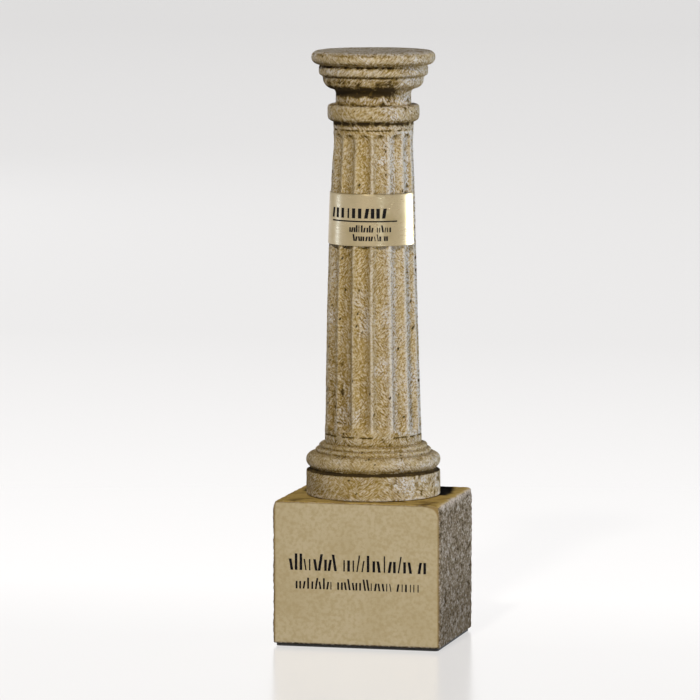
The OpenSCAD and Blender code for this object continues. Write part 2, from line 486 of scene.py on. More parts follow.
@dataclass(frozen=True)
class CastStone:
    """Ochre cast stone with fine leaning strokes, pale crests and brown hollows, with painted shade
    and painted sheen.
    """

    body: Colour = (0.45, 0.33, 0.145)
    warm: Colour = (0.39, 0.275, 0.10)
    crest: Colour = (0.64, 0.56, 0.45)
    # Pale colour for chalky patina and for painted sheen on the lit sides.
    chalk_and_sheen: Colour = (0.68, 0.66, 0.66)
    # Deep ochre for stroke valleys and hollows, and for painted shade on undersides.
    ochre: Colour = (0.22, 0.135, 0.025)
    # Near-black for the deepest dark wash and painted shade.
    wash: Colour = (0.040, 0.025, 0.009)
    pit: Colour = (0.06, 0.04, 0.016)
    stroke_scale: float = 1500.0
    stroke_depth: float = 0.0006
    grain_scale: float = 2600.0
    turn: float = 36.0
    squeeze: float = 0.6
    gloss: float = 0.08

    def strokes(self, board: Board) -> bpy.types.NodeSocket:
        """Lays two families of strokes, each ruling in its own patches.

        Args:
            board: Layout to add to.

        Returns:
            Height of the strokes from 0 to 1.
        """
        left, right = (
            board.noise(self.stroke_scale, 2.0, 0.5, board.leaning(self.turn, self.squeeze, lay))
            for lay in (Lay.LEFT, Lay.RIGHT)
        )
        patch = board.ease(board.noise(70.0, 1.0), 0.44, 0.56)
        return board.add("ShaderNodeMix", {0: patch, 2: left, 3: right}).outputs[0]

    def ground(self, board: Board) -> bpy.types.NodeSocket:
        """Lays the stone's own colour, clouded, chalky in places and with painted sheen.

        Args:
            board: Layout to add to.

        Returns:
            The colour under strokes and wash.
        """
        cloud = board.ease(board.noise(60.0, 3.0), 0.35, 0.65)
        colour = board.blend(cloud, self.body, self.warm)
        speckle = board.ease(board.noise(1350.0, 2.0), 0.42, 0.58, 0.15, 1.6)
        chalk_and_sheen = board.calc(Op.MULTIPLY, board.mark("pale"), speckle)
        return board.blend(board.calc(Op.MINIMUM, chalk_and_sheen, 0.95), colour, self.chalk_and_sheen)

    def washed(self, board: Board, strokes: bpy.types.NodeSocket) -> bpy.types.NodeSocket:
        """Lays crests and valleys along the strokes, and dark wash with painted shade in the
        joints, hollows and undersides.

        Args:
            board: Layout to add to.
            strokes: Height of the strokes from 0 to 1.

        Returns:
            The finished colour.
        """
        relief, wash_and_shade = board.mark("relief"), board.mark("wash_and_shade")
        sunk = board.calc(Op.MULTIPLY, board.calc(Op.SUBTRACT, 0.5, strokes), 1.4)
        wash_and_shade_depth = board.calc(Op.ADD, wash_and_shade, sunk)
        colour = self.ground(board)
        # Dark wash and painted shade turn the colour deep ochre.
        colour = board.blend(board.ease(wash_and_shade_depth, 0.0, 0.6, 0.0, 0.85), colour, self.ochre)
        crests = board.ease(strokes, 0.52, 0.62, 0.0, 0.6)
        crests = board.calc(Op.MULTIPLY, crests, board.ease(wash_and_shade, 0.2, 0.8, 1.0, 0.1))
        colour = board.blend(crests, colour, self.crest)
        valleys = board.ease(strokes, 0.49, 0.36, 0.0, 0.85)
        colour = board.blend(valleys, colour, self.ochre)
        # The deepest wash and painted shade go near-black.
        colour = board.blend(board.ease(wash_and_shade_depth, 0.45, 0.85, 0.0, 0.97), colour, self.wash)
        stroked = board.ease(strokes, 0.36, 0.52, 0.45, 1.0)
        # Crest mark: rubbed wear and painted highlights along the arrises.
        rubbed = board.calc(Op.MULTIPLY, board.mark("crest"), stroked)
        colour = board.blend(rubbed, colour, self.crest)
        raised = board.ease(relief, 0.1, 1.3, 0.0, 0.45)
        raised = board.calc(Op.MULTIPLY, raised, board.ease(wash_and_shade, 0.3, 0.8, 1.0, 0.0))
        colour = board.blend(raised, colour, self.crest)
        colour = board.blend(board.ease(relief, -0.1, -1.1, 0.0, 0.5), colour, self.ochre)
        return board.blend(board.ease(relief, -0.9, -2.4), colour, self.pit)

    def make(self) -> bpy.types.Material:
        """Lays out the material.

        Returns:
            The finished material.
        """
        board = Board("cast_stone")
        strokes = self.strokes(board)
        grain = board.calc(Op.MULTIPLY, board.noise(self.grain_scale, 2.0), 0.25)
        rough = board.ease(strokes, 0.35, 0.65, 0.62, 0.42)
        dull = board.ease(board.mark("wash_and_shade"), 0.2, 0.7, 0.3, 0.97)
        return board.finish(
            {
                "Base Color": self.washed(board, strokes),
                "Roughness": board.calc(Op.MAXIMUM, rough, dull),
                "Normal": board.bump(board.calc(Op.ADD, strokes, grain), self.stroke_depth),
                "Specular IOR Level": self.gloss,
            }
        )


@dataclass(frozen=True)
class HonedStone:
    """Cast stone of the block: rubbed smooth in front and left pebbled on the other sides."""

    half_width: float
    brim: float
    front: Colour = (0.495, 0.405, 0.26)
    mottle: Colour = (0.405, 0.315, 0.17)
    rim: Colour = (0.22, 0.13, 0.03)
    rough_body: Colour = (0.24, 0.18, 0.115)
    rough_pit: Colour = (0.03, 0.018, 0.007)
    rough_crest: Colour = (0.50, 0.43, 0.36)
    brow: Colour = (0.66, 0.55, 0.46)
    top: Colour = (0.50, 0.34, 0.10)
    stained: Colour = (0.12, 0.065, 0.015)
    # Near-black for the painted shadow behind the drum.
    painted_shadow: Colour = (0.008, 0.006, 0.004)
    chip_reach: tuple[float, float] = (8.5e-6, 5.0e-6)
    pebble_depth: float = 0.0008
    gloss: float = 0.015

    def rim_line(self, board: Board) -> bpy.types.NodeSocket:
        """Marks the front's stained edges and its chipped upper right corner.

        Args:
            board: Layout to add to.

        Returns:
            Strength of the stain from 0 to 1.
        """
        side, height = board.axis("X"), board.axis("Z")
        across = board.calc(Op.ABSOLUTE, side)
        line = board.ease(across, self.half_width - 0.0018, self.half_width - 0.0008)
        top_line = board.ease(height, self.brim - 0.0013, self.brim - 0.0005)
        line = board.calc(Op.MAXIMUM, line, top_line)
        inward = board.calc(Op.SUBTRACT, self.half_width, side)
        down = board.calc(Op.SUBTRACT, self.brim, height)
        chipped = board.ease(board.calc(Op.MULTIPLY, inward, down), *self.chip_reach)
        return board.calc(Op.MAXIMUM, line, chipped)

    def front_face(self, board: Board) -> bpy.types.NodeSocket:
        """Lays the smooth front's colour.

        Args:
            board: Layout to add to.

        Returns:
            The colour.
        """
        mottle = board.ease(board.noise(700.0, 5.0), 0.36, 0.70, 0.0, 0.75)
        cloud = board.ease(board.noise(45.0, 3.0), 0.40, 0.75, 0.0, 0.45)
        colour = board.blend(mottle, self.front, self.mottle)
        colour = board.blend(cloud, colour, self.mottle)
        return board.blend(board.calc(Op.MULTIPLY, self.rim_line(board), 0.8), colour, self.rim)

    def rough_faces(self, board: Board, pebble: bpy.types.NodeSocket) -> bpy.types.NodeSocket:
        """Lays the colour of the pebbled sides and the stained top.

        Args:
            board: Layout to add to.
            pebble: Height of the fine pebbles from 0 to 1.

        Returns:
            The colour.
        """
        grit = board.calc(Op.MULTIPLY, board.calc(Op.SUBTRACT, pebble, 0.5), 5.0)
        relief = board.calc(Op.ADD, board.mark("relief"), grit)
        colour = board.blend(board.ease(relief, -0.1, 1.1), self.rough_body, self.rough_crest)
        colour = board.blend(board.ease(relief, 0.0, -1.3, 0.0, 0.9), colour, self.rough_pit)
        low_down = board.ease(board.axis("Z"), 0.045, 0.005, 0.0, 0.35)
        colour = board.blend(low_down, colour, self.rough_pit)
        stain = board.ease(board.noise(150.0, 3.0), 0.48, 0.74, 0.0, 0.85)
        upper = board.blend(stain, self.top, self.stained)
        colour = board.blend(board.calc(Op.MULTIPLY, board.mark("top"), 0.9), colour, upper)
        pebbled = board.ease(pebble, 0.36, 0.55, 0.45, 0.95)
        worn = board.calc(Op.MULTIPLY, board.mark("edge"), pebbled)
        colour = board.blend(worn, colour, self.brow)
        # Paints the shadow behind the drum onto the top.
        return board.blend(board.mark("painted_shadow"), colour, self.painted_shadow)

    def make(self) -> bpy.types.Material:
        """Lays out the material.

        Returns:
            The finished material.
        """
        board = Board("honed_stone")
        smooth_face = board.mark("front")
        pebble = board.noise(1150.0, 3.0, 0.3, board.stretched((0.8, 0.6, 1.0)))
        colour = board.blend(smooth_face, self.rough_faces(board, pebble), self.front_face(board))
        fine = board.calc(Op.MULTIPLY, board.noise(2400.0, 2.0), 0.08)
        height = board.calc(Op.MULTIPLY, pebble, board.calc(Op.SUBTRACT, 1.0, smooth_face))
        return board.finish(
            {
                "Base Color": colour,
                "Roughness": board.ease(smooth_face, 0.0, 1.0, 0.85, 0.55),
                "Normal": board.bump(board.calc(Op.ADD, height, fine), self.pebble_depth),
                "Specular IOR Level": self.gloss,
            }
        )


@dataclass(frozen=True)
class SatinGold:
    """Satin gold-tone metal with faint brushing and a few dull patches."""

    metal: Colour = (0.50, 0.405, 0.245)
    dull: Colour = (0.42, 0.335, 0.18)
    brush_depth: float = 0.00002

    def make(self) -> bpy.types.Material:
        """Lays out the material.

        Returns:
            The finished material.
        """
        board = Board("gold_metal")
        streaks = board.noise(2500.0, 3.0, 0.0, board.stretched((0.12, 0.12, 1.0)))
        patches = board.noise(90.0, 3.0)
        brushed = board.ease(streaks, 0.3, 0.7, 0.26, 0.36)
        tarnished = board.ease(patches, 0.4, 0.7, 0.0, 0.06)
        return board.finish(
            {
                "Base Color": board.blend(board.ease(patches, 0.4, 0.7), self.metal, self.dull),
                "Metallic": 1.0,
                "Roughness": board.calc(Op.ADD, brushed, tarnished),
                "Normal": board.bump(streaks, self.brush_depth),
            }
        )


@dataclass(frozen=True)
class BlackFelt:
    """Near-black felt with a short nap."""

    fibre: Colour = (0.012, 0.0115, 0.011)
    lint: Colour = (0.04, 0.038, 0.035)

    def make(self) -> bpy.types.Material:
        """Lays out the material.

        Returns:
            The finished material.
        """
        board = Board("black_felt")
        nap = board.noise(3200.0, 3.0, 1.0)
        colour = board.blend(board.ease(nap, 0.45, 0.75), self.fibre, self.lint)
        rough = board.ease(nap, 0.3, 0.7, 0.97, 0.85)
        return board.finish(
            {
                "Base Color": colour,
                "Roughness": rough,
                "Normal": board.bump(nap, 0.0003),
                "Sheen Weight": 0.2,
                "Sheen Roughness": 0.5,
            }
        )


@dataclass(frozen=True)
class DarkPaint:
    """Black paint rubbed into the marks, a little worn."""

    name: str = "dark_paint"
    paint: Colour = (0.006, 0.005, 0.006)
    worn: Colour = (0.03, 0.026, 0.02)

    def make(self) -> bpy.types.Material:
        """Lays out the material.

        Returns:
            The finished material.
        """
        board = Board(self.name)
        wear = board.noise(1500.0, 3.0)
        colour = board.blend(board.ease(wear, 0.5, 0.8), self.paint, self.worn)
        rough = board.ease(wear, 0.3, 0.7, 0.75, 0.9)
        normal = board.bump(wear, 0.00005)
        return board.finish(
            {"Base Color": colour, "Roughness": rough, "Normal": normal, "Specular IOR Level": 0.1}
        )


@dataclass
class ShaftForm:
    """Line of the shaft: its taper, its slight swell, its pinched neck and its slight bow."""

    foot_r: float = 20.8
    neck_r: float = 17.15
    foot_z: float = 89.2
    neck_z: float = 220.4
    swell: float = 0.24
    pinch: float = 0.35
    pinch_z: float = 213.0
    pinch_h: float = 6.5
    bow: float = 0.42
    bow_towards: float = 13.5

    def taper(self, z: Array) -> Array:
        """Radius of the plain straight taper at a height.

        Args:
            z: Height above the table, in millimetres.

        Returns:
            Distance from the axis, in millimetres.
        """
        return self.foot_r + (self.neck_r - self.foot_r) * (z - self.foot_z) / (
            self.neck_z - self.foot_z
        )

    def extra(self, z: Array) -> Array:
        """How far the real surface stands outside the straight taper.

        Args:
            z: Height above the table, in millimetres.

        Returns:
            Distance outward, in millimetres.
        """
        t = np.clip((z - self.foot_z) / (self.neck_z - self.foot_z), 0.0, 1.0)
        rise = self.swell * np.sin(math.pi * t)
        return rise - self.pinch * hump(z, self.pinch_z, self.pinch_h)

    def shift(self, z: Array) -> Array:
        """Sideways offset of the axis at each height.

        Args:
            z: Heights above the table, in millimetres.

        Returns:
            Rows of x, y and z.
        """
        t = np.clip((z - self.foot_z) / (self.neck_z - self.foot_z), 0.0, 1.0)
        amount = -self.bow * np.sin(math.pi * t)
        angle = math.radians(self.bow_towards)
        return np.stack(
            [amount * math.cos(angle), amount * math.sin(angle), np.zeros_like(amount)], axis=-1
        )


@dataclass(frozen=True)
class RingBand:
    """Band round the column, used for dark bands of wash and painted shade and for pale bands."""

    height: float
    reach: float
    depth: float
    broken: float = 0.3

    def settle(self, z: Array, chance: Array) -> Array:
        """How strong the band is at each height, broken up by chance."""
        band = hump(z, self.height, self.reach) * self.depth
        return band * np.clip(1.0 + self.broken * 2.2 * chance, 0.0, 1.25)


@dataclass(frozen=True)
class Side:
    """Part of the way round the column, by the angle that it faces and where it fades out."""

    towards: float
    fade: float
    full: float

    def share(self, angle: Array) -> Array:
        """How far each angle, in radians from the front to the right, lies in it, from 0 to 1."""
        return smoothstep(np.cos(angle - math.radians(self.towards)), self.fade, self.full)


@dataclass
class Skin:
    """Grid over the column, by ring and place in the ring, in millimetres and radians."""

    low: float
    high: float
    angle: Array
    z: Array
    plain: Array
    radius: Array
    local: Array
    shaft: Array
    bend: Array
    points: Array
    normal: Array
    relief: Array | None = None
    flat_top: Array | None = None


@dataclass
class Wear:
    """Shares from 0 to 1 for where each kind of wear, painted shade and painted sheen lies, and
    three patterns of chance.
    """

    right: Array
    left: Array
    drum: Array
    left_shade_and_grime: Array
    shady: Array
    mottled: Array
    patch: Array
    chance: Array
    crumb: Array


@dataclass
class Column:
    """Drum, base mouldings, fluted shaft and capital, cast in one piece."""

    form: ShaftForm = field(default_factory=ShaftForm)
    drum_r: float = 28.8
    drum_h: float = 10.8
    torus_h: float = 6.9
    flutes: int = 15
    arris_w: float = 1.2
    flute_round: float = 1.15
    flute_margin: float = 1.8
    arris_soft: float = 0.5
    around: int = 270
    softness: float = 0.30
    capital_soft: float = 0.65
    bend_reach: float = 2.2
    line_half: float = 0.35
    line_depth: float = 0.3
    pits: int = 230
    top_sunk: float = 0.16
    # Sides by angle: right, left, bright and turned sides carry painted sheen and highlights; the
    # shady side carries painted shade.
    right_side: Side = Side(75.0, 0.45, 0.85)
    left_side: Side = Side(-78.0, 0.80, 0.98)
    lit_capital_side: Side = Side(82.0, 0.70, 0.90)
    shady_side: Side = Side(-50.0, 0.66, 0.95)
    bright_side: Side = Side(66.0, 0.45, 0.85)
    turned_side: Side = Side(72.0, 0.50, 0.80)
    turned_way: Side = Side(92.0, 0.60, 0.86)
    # Dark wash at the joints, with painted shade under the torus, the astragal and the capital's
    # overhangs.
    dark_bands: tuple[RingBand, ...] = (
        RingBand(74.05, 0.75, 1.5, 0.1),
        RingBand(81.3, 0.8, 0.30),
        RingBand(83.2, 0.7, 0.24),
        RingBand(85.4, 0.9, 0.28, 0.6),
        RingBand(89.2, 0.45, 0.75, 1.6),
        RingBand(220.4, 0.45, 0.75, 1.6),
        RingBand(223.2, 1.25, 1.0),
        RingBand(231.0, 0.6, 0.6, 0.9),
        RingBand(236.9, 2.6, 1.6, 0.2),
        RingBand(240.2, 2.6, 0.62, 0.8),
        RingBand(243.1, 0.9, 0.62, 0.6),
        RingBand(247.5, 1.1, 0.75, 0.5),
        RingBand(248.9, 0.9, 0.52, 0.4),
        RingBand(252.5, 0.7, 0.46, 0.8),
    )
    # Paler bands at given heights on the mouldings.
    pale_bands: tuple[RingBand, ...] = (
        RingBand(63.3, 0.6, 0.5, 0.8),
        RingBand(87.4, 1.2, 0.25, 0.8),
        RingBand(222.0, 0.9, 0.4, 0.6),
        RingBand(233.4, 1.4, 0.35, 1.0),
        RingBand(241.9, 0.8, 0.35, 0.6),
        RingBand(245.7, 1.3, 0.45, 0.6),
    )
    seed: int = 11

    def outline(self, low: float, top: float) -> Array:
        """Draws the half outline from the drum's underside to the middle of the top.

        Args:
            low: Height of the drum's underside.
            top: Height of the capital's top.

        Returns:
            Points of radius and height.
        """
        foot, neck, drum = self.form.foot_r, self.form.neck_r, self.drum_r
        groove = low + self.drum_h
        torus = groove + 0.7
        half = self.torus_h / 2
        line = Profile().to(12.0, low).arc((drum - 0.3, low + 0.3), (0.3, 0.3), -90, 0)
        line.arc((drum - 0.6, groove - 0.6), (0.6, 0.6), 0, 90).to(drum - 1.6, groove)
        line.arc((foot + 8.1 - half, torus + half), (half, half), -59.5, 90)
        ring = torus + self.torus_h
        line.arc((foot + 3.35, ring + 0.95), (0.95, 0.95), -90, 90)
        line.arc((foot + 1.7, ring + 2.9), (1.0, 1.0), -90, 90)
        band = ring + 3.9
        line.to(foot, band)
        for radius, height in ((foot, self.form.foot_z), (neck, self.form.neck_z)):
            line.to(radius, height - self.line_half).to(radius - self.line_depth, height)
            line.to(radius, height + self.line_half)
        bead = self.form.neck_z + 3.2
        line.arc((neck, bead + 2.5), (2.5, 2.5), -90, 0)
        line.arc((neck + 1.2, bead + 6.0), (1.3, 1.3), 0, 90)
        necking = bead + 7.3
        line.to(neck - 1.0, necking).to(neck - 1.0, necking + 4.7)
        line.arc((neck + 0.7, necking + 4.7), (1.7, 1.9), 180, 90)
        echinus = necking + 6.6
        line.arc((neck, echinus + 4.5), (4.5, 4.5), -81, 0).to(neck + 4.5, echinus + 5.7)
        fillet = echinus + 5.7
        line.arc((neck + 5.3, fillet + 1.0), (1.0, 1.0), -90, 0)
        line.arc((neck + 5.3, fillet + 3.7), (1.0, 1.0), 0, 90)
        line.arc((neck + 6.45, top - 3.05), (3.05, 3.05), -90, 90).to(1.0, top)
        sharp = line.settle(self.softness)
        worn = blur_line(sharp, self.capital_soft / GRAIN)
        r, z = sharp[:, 0], sharp[:, 1]
        capital = smoothstep(z, top - 17.5, top - 13.0) * smoothstep(r, 15.0, 18.0)
        rings = smoothstep(z, ring - 1.5, ring) * smoothstep(-z, -band - 1.0, -band)
        share = np.maximum(capital, 0.8 * rings)
        return sharp + (worn - sharp) * share[:, None]

    def rows(self, outline: Array) -> Array:
        """Picks the outline's points that become rings: close on mouldings, wider elsewhere.

        Args:
            outline: Even row of points.

        Returns:
            Numbers of the picked points.
        """
        r, z = outline[:, 0], outline[:, 1]
        step = np.full(len(outline), 0.43)
        step[(z > self.form.foot_z + 9.0) & (z < self.form.neck_z - 8.0)] = 0.9
        step[z < z[0] + 0.02] = 3.0
        step[(z > z.max() - 0.03) & (r < 23.0)] = 1.5
        count = np.cumsum(GRAIN / step)
        wanted = np.arange(0.0, count[-1], 1.0)
        return np.unique(np.append(np.searchsorted(count, wanted), len(outline) - 1))

    def flute_surface(self, angle: Array, z: Array) -> Array:
        """Distance from the axis to the wall of the nearest flute.

        Args:
            angle: Angle from that flute's middle, in radians.
            z: Height of each point.

        Returns:
            Distance at each point, large where there is no flute.
        """

        def width(at: Array) -> Array:
            """Chord across the mouth of a flute."""
            return 2.0 * self.form.taper(at) * math.sin(math.pi / self.flutes) - self.arris_w

        foot, neck = np.array(self.form.foot_z), np.array(self.form.neck_z)
        radius = self.flute_round * float(width(foot)) / 2
        low = float(foot + self.flute_margin + width(foot) / 2)
        high = float(neck - self.flute_margin - width(neck) / 2)
        ends = np.array([low, high])
        half = width(ends) / 2
        centres = np.sqrt(self.form.taper(ends) ** 2 - half**2) + np.sqrt(radius**2 - half**2)
        centre = np.interp(z, ends, centres) + self.form.extra(z)
        past = np.maximum(0.0, np.maximum(low - z, z - high))
        section = radius**2 - past**2
        inside = section - (centre * np.sin(angle)) ** 2
        wall = centre * np.cos(angle) - np.sqrt(np.maximum(inside, 0.0))
        return np.where((section > 0.0) & (inside > 0.0), wall, FAR)

    def hand_marks(self, points: Array, draw: np.random.Generator) -> Array:
        """Depth of scattered pits, scratches and chips.

        Args:
            points: Places by ring, place in the ring and axis.
            draw: Source of chance.

        Returns:
            Depth in millimetres at each point.
        """
        depth = np.zeros(points.shape[:2])
        count, around = points.shape[:2]
        lengths = np.linalg.norm(np.diff(points[:, 0], axis=0), axis=1)
        share = np.concatenate([[0.0], np.cumsum(lengths)])
        for _ in range(self.pits):
            ring = int(np.searchsorted(share, draw.uniform(18.0, share[-1] - 4.0)))
            spot = points[ring, draw.integers(around)]
            lean = draw.choice([-1.0, 1.0]) * draw.uniform(0.5, 1.0)
            size = draw.uniform(0.14, 0.28)
            stretch = draw.uniform(1.0, 2.6)
            low, high = max(0, ring - 12), min(count, ring + 12)
            gap = points[low:high] - spot
            side = np.array([-spot[1], spot[0], 0.0]) / max(1e-6, math.hypot(spot[0], spot[1]))
            u, v = gap @ side, gap[..., 2]
            w = gap @ (spot / np.linalg.norm(spot))
            long, short = (u * lean + v) / 1.4, (u - v * lean) / 1.4
            near = (long / (size * stretch)) ** 2 + (short / size) ** 2 + (w / 2.5) ** 2
            depth[low:high] = np.maximum(depth[low:high], draw.uniform(0.2, 0.45) * np.exp(-near))
        return depth

    def new_skin(self) -> Skin:
        """Turns the outline and cuts the flutes.

        Returns:
            The column as it would be without relief or wear.
        """
        low, high = (corner.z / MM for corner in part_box(Part.COLUMN.value))
        outline = self.outline(low, high)
        slope = np.gradient(outline, axis=0)
        outward = np.stack([slope[:, 1], -slope[:, 0]], 1)
        outward /= np.linalg.norm(outward, axis=1, keepdims=True)
        broad = blur_line(outline, self.bend_reach / GRAIN)
        bend = ((broad - outline) * outward).sum(1)
        pick = self.rows(outline)
        turn = np.linspace(-math.pi, math.pi, self.around, endpoint=False)
        angle, z = np.meshgrid(turn, outline[pick, 1])
        pitch = 2 * math.pi / self.flutes
        local = (angle + pitch / 2) % pitch - pitch / 2
        foot, neck = self.form.foot_z, self.form.neck_z
        swell = np.where((z >= foot) & (z <= neck), self.form.extra(z), 0.0)
        plain = outline[pick, 0][:, None] + swell
        shaft = (z > foot + 0.4) & (z < neck - 0.4)
        fluted = soft_min(plain, self.flute_surface(local, z), self.arris_soft)
        radius = np.where(shaft, fluted, plain)
        points = np.stack([radius * np.sin(angle), -radius * np.cos(angle), z], axis=-1)
        points += self.form.shift(z)
        bend = np.repeat(bend[pick][:, None], self.around, axis=1)
        normal = grid_normals(points)
        return Skin(low, high, angle, z, plain, radius, local, shaft, bend, points, normal)

    def weather(self, skin: Skin, noise: Noise) -> None:
        """Works strokes, lumps, pits and a worn top into the column.

        Args:
            skin: Grid to work on; its points, relief and flat top are set.
            noise: Source of the relief.
        """
        points, z = skin.points, skin.points[..., 2]
        leaning = points * np.array([1.0, 1.0, 0.6])
        fine = 0.05 * (noise.ridged(leaning, 2.4) - 0.45) + 0.06 * noise.smooth(points, 1.4)
        lumps = 0.08 * noise.fractal(points, 5.5, 2)
        wobble = 0.12 * noise.smooth(points, 19.0)
        pits = self.hand_marks(points, np.random.default_rng(self.seed))
        pits *= 1.0 - smoothstep(z, skin.high - 1.5, skin.high - 0.4)
        middle = smoothstep(skin.radius, 0.8, 5.0)
        calm = smoothstep(z, skin.low + 0.1, skin.low + 1.0) * middle
        push = (fine + lumps + wobble - pits) * calm
        skin.flat_top = smoothstep(skin.normal[..., 2], 0.6, 0.95) * (z > skin.high - 3.0)
        sunk = push * 0.6 - self.top_sunk * skin.flat_top
        push = np.where(skin.flat_top > 0, sunk, push)
        skin.points = points + skin.normal * push[..., None]
        skin.points[..., 2] = np.clip(skin.points[..., 2], skin.low, skin.high)
        skin.relief = (fine + 0.6 * lumps - 1.6 * pits) / 0.12 * middle

    def find_wear(self, skin: Skin, noise: Noise) -> Wear:
        """Finds where the column is mottled, dirty or pale, and where it gets painted shade and
        painted sheen.

        Args:
            skin: Weathered grid.
            noise: Source of the patterns.

        Returns:
            Where each kind of wear lies.
        """
        foot, neck = self.form.foot_z, self.form.neck_z
        crumb = noise.fractal(skin.points * np.array([1.0, 1.0, 0.75]) + 23.0, 2.4, 2)
        right, left = self.right_side.share(skin.angle), self.left_side.share(skin.angle)
        groove = skin.low + self.drum_h
        drum = smoothstep(-skin.z, 0.2 - groove, 1.0 - groove)
        ends = np.maximum(right, left) * (1.0 - skin.shaft)
        collar, heel = hump(skin.z, neck + 12.6, 2.6), hump(skin.z, foot - 2.0, 1.7)
        mottled = 0.25 * (1.0 - skin.shaft) + 0.2 * ends * drum + 0.4 * ends + collar + 0.6 * heel
        mottled = np.maximum(np.clip(mottled, 0.0, 1.0), 0.9 * skin.flat_top)
        lower = smoothstep(-skin.z, -165.0, -100.0) * skin.shaft
        shady = self.shady_side.share(skin.angle)
        return Wear(
            right=right,
            left=left,
            drum=drum,
            # The left side below the shaft darkens: painted shade, with some grime.
            left_shade_and_grime=left * smoothstep(-skin.z, -foot - 1.0, -foot + 5.0),
            # Lower shaft on the left: painted shade.
            shady=lower * shady,
            mottled=np.maximum(mottled, lower * (0.35 + 0.65 * shady)),
            patch=noise.fractal(skin.points + 91.0, 14.0, 3),
            chance=noise.fractal(skin.points + 57.0, 5.0, 2),
            crumb=crumb,
        )

    def wash_and_shade(self, skin: Skin, wear: Wear) -> Array:
        """How far dark wash and painted shade reach at each point, from 0 to about 1.

        Args:
            skin: Weathered grid.
            wear: Where each kind of wear lies.

        Returns:
            One value a point.
        """
        hollow = smoothstep(skin.bend, -0.05, 0.7)
        wash = 0.55 * hollow * (1.0 - 0.6 * hump(skin.z, skin.low + self.drum_h + 1.4, 1.6))
        broken = wear.chance + 0.8 * wear.crumb
        # Dark bands of wash, and painted shade under the overhangs.
        for seam in self.dark_bands:
            wash = np.maximum(wash, seam.settle(skin.points[..., 2], broken))
        capital = smoothstep(skin.z, self.form.neck_z + 1.0, self.form.neck_z + 8.0)
        # Dark wash and painted shade fade on the capital's right, where light falls.
        wash = wash * (1.0 - 0.75 * capital * self.lit_capital_side.share(skin.angle))
        # Undersides get painted shade.
        under = smoothstep(-skin.normal[..., 2], 0.12, 0.75)
        under = under * smoothstep(skin.z, skin.low + 1.5, skin.low + 4.0)
        # Deep flutes get painted shade.
        depth = np.clip((skin.plain - skin.radius) / 2.4, 0.0, 1.0)
        blotch = wear.right * (1.0 - skin.shaft) * smoothstep(wear.chance, -0.15, 0.45)
        layers = [
            wash,
            np.maximum(0.25 * depth, 0.8 * under) * skin.shaft,
            0.5 * under,
            # Painted shade, with some grime, on the left of the drum and base.
            0.42 * wear.left_shade_and_grime,
            0.34 * blotch,
            0.3 * skin.flat_top * smoothstep(wear.chance, 0.0, 0.5),
            # The drum darkens except on its right, where light falls: dark wash and painted shade.
            wear.drum * (0.25 + 0.12 * wear.patch) * (1.0 - wear.right),
            # Painted shade on the lower left of the shaft.
            wear.shady * (0.40 + 0.14 * wear.crumb),
            0.8 * wear.mottled * smoothstep(wear.crumb, 0.05, 0.75),
        ]
        return np.max(layers, axis=0)

    def pale(self, skin: Skin, wear: Wear, ridge: Array) -> Array:
        """How pale the stone is at each point, from 0 to about 1: chalky patina, and painted sheen
        and highlights where the side lights fall.

        Args:
            skin: Weathered grid.
            wear: Where each kind of wear lies.
            ridge: Where the ridges between the flutes lie, from 0 to 1.

        Returns:
            One value a point.
        """
        facing = np.arctan2(skin.normal[..., 0], -skin.normal[..., 1])
        # Walls facing right, on the right of the shaft: painted highlight from the light on that
        # side.
        turned = self.turned_way.share(facing) * self.turned_side.share(skin.angle) * skin.shaft
        # The right and left sides get painted sheen; the left is spared where it gets painted
        # shade.
        chalk_and_sheen = np.maximum(0.26 * wear.right, 1.6 * turned) + 0.24 * wear.left * (1.0 - wear.left_shade_and_grime)
        chalk_and_sheen += 0.45 * wear.mottled * smoothstep(-wear.crumb, 0.05, 0.5)
        for band in self.pale_bands:
            chalk_and_sheen += band.settle(skin.points[..., 2], wear.crumb)
        chalk_and_sheen += 0.3 * smoothstep(wear.patch, 0.3, 0.9)
        chalk_and_sheen = chalk_and_sheen * (0.8 + 0.8 * wear.patch) + 0.8 * skin.flat_top
        # Painted highlight on the ridges of the lit right side.
        rubbed = 1.2 * self.bright_side.share(skin.angle) * ridge
        return np.clip(np.maximum(chalk_and_sheen, rubbed), 0.0, 1.1)

    def ridges(self, skin: Skin) -> Array:
        """Where the ridges between the flutes lie, from 0 to 1.

        Args:
            skin: Places and plain radii of all the points.

        Returns:
            Share of ridge at each point.
        """
        half = math.pi / self.flutes
        ridge = hump((half - np.abs(skin.local)) * skin.radius, 0.0, 0.55) * skin.shaft
        deepest = skin.plain - self.flute_surface(0 * skin.local, skin.z)
        return ridge * smoothstep(deepest, 0.1, 0.8)

    def build(self) -> bpy.types.Object:
        """Makes the mesh with its relief, and the marks that its finish reads.

        Returns:
            The new object.
        """
        noise = Noise(self.seed)
        skin = self.new_skin()
        self.weather(skin, noise)
        wear = self.find_wear(skin, noise)
        wash_and_shade, ridge = self.wash_and_shade(skin, wear), self.ridges(skin)
        # Pale arrises: rubbed wear, plus a painted highlight on the lit right and left sides.
        bright = self.bright_side.share(skin.angle)
        rubbed = ridge * (0.4 + 0.5 * bright + 0.25 * wear.left)
        lip = smoothstep(-skin.bend, 0.15, 0.9) * (1.0 - smoothstep(wash_and_shade, 0.15, 0.6))
        marks = {
            "relief": skin.relief,
            "wash_and_shade": wash_and_shade,
            "crest": np.maximum(0.9 * rubbed, 0.22 * lip),
            "pale": self.pale(skin, wear, ridge),
        }
        return loft("column_cast", skin.points, marks)

    def dress(self, piece: bpy.types.Object) -> None:
        """Gives the piece its finish and its place in the construction.

        Args:
            piece: Object that build made.
        """
        piece.data.materials.append(CastStone().make())
        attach(piece, "root")
        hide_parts(Part.COLUMN.value)


